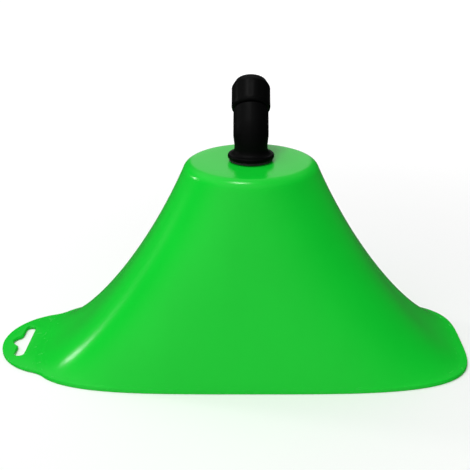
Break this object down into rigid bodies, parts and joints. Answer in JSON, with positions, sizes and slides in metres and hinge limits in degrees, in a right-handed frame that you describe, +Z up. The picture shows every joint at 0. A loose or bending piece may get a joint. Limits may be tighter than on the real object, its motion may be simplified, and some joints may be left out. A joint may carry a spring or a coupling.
{
  "type": "spray hood",
  "caption": "Oblong flared spray hood with a hanging tab, a 45 degree lance elbow on top and a flat-fan nozzle inside.",
  "frame": {"origin": "middle of the underside of the bounding box, on the ground under the hood's rim", "axes": "+Z up, +X along the hood away from its hanging tab, +Y across it, the side that the lance leans to"},
  "size_m": [0.2372, 0.0976, 0.1381],
  "materials": {
    "hood_green": "semi-gloss moulded polyethylene, bright green",
    "fitting_black": "satin moulded nylon, black",
    "clip_nylon": "plain nylon, natural",
    "seal_rubber": "matte black rubber",
    "steel": "stainless steel: the clamp washer and the woven mesh",
    "strainer_nylon": "natural nylon",
    "tip_acetal": "moulded acetal, yellow"
  },
  "bodies": {
    "hood": {"hood_shell": "hood_green"},
    "elbow": {"elbow_body": "fitting_black", "nut_retainer": "clip_nylon", "lance_seal": "seal_rubber", "hood_gasket": "seal_rubber"},
    "coupling": {"coupling_nut": "fitting_black"},
    "clamp_ring": {"clamp_washer": "steel"},
    "clamp": {"clamp_nut": "fitting_black"},
    "nozzle": {"nozzle_tip": "tip_acetal", "nozzle_seal": "seal_rubber", "strainer_frame": "strainer_nylon", "strainer_mesh": "steel"},
    "cap": {"nozzle_cap": "fitting_black"}
  },
  "joints": [
    {"name": "elbow_turn", "type": "hinge", "parent": "hood", "child": "elbow", "pos_m": [0.0096, 0, 0.0996], "axis": [0, 0, 1], "continuous": true},
    {"name": "coupling_spin", "type": "hinge", "parent": "elbow", "child": "coupling", "pos_m": [0.0096, 0.00955, 0.12165], "axis": [0, 0.7071, 0.7071], "continuous": true},
    {"name": "clamp_drop", "type": "slide", "parent": "elbow", "child": "clamp_ring", "axis": [0, 0, -1], "range_m": [0, 0.0045]},
    {"name": "clamp_unscrew", "type": "hinge", "parent": "clamp_ring", "child": "clamp", "pos_m": [0.0096, 0, 0.098], "axis": [0, 0, -1], "range_deg": [0, 1081]},
    {"name": "nozzle_drop", "type": "slide", "parent": "elbow", "child": "nozzle", "axis": [0, 0, -1], "range_m": [0, 0.0075]},
    {"name": "cap_unscrew", "type": "hinge", "parent": "nozzle", "child": "cap", "pos_m": [0.0096, 0, 0.076], "axis": [0, 0, -1], "range_deg": [0, 1801]}
  ],
  "couplings": [
    {"joint": "clamp_unscrew", "follows": "clamp_drop", "rad_per_m": 4188.8},
    {"joint": "cap_unscrew", "follows": "nozzle_drop", "rad_per_m": 4188.8}
  ]
}
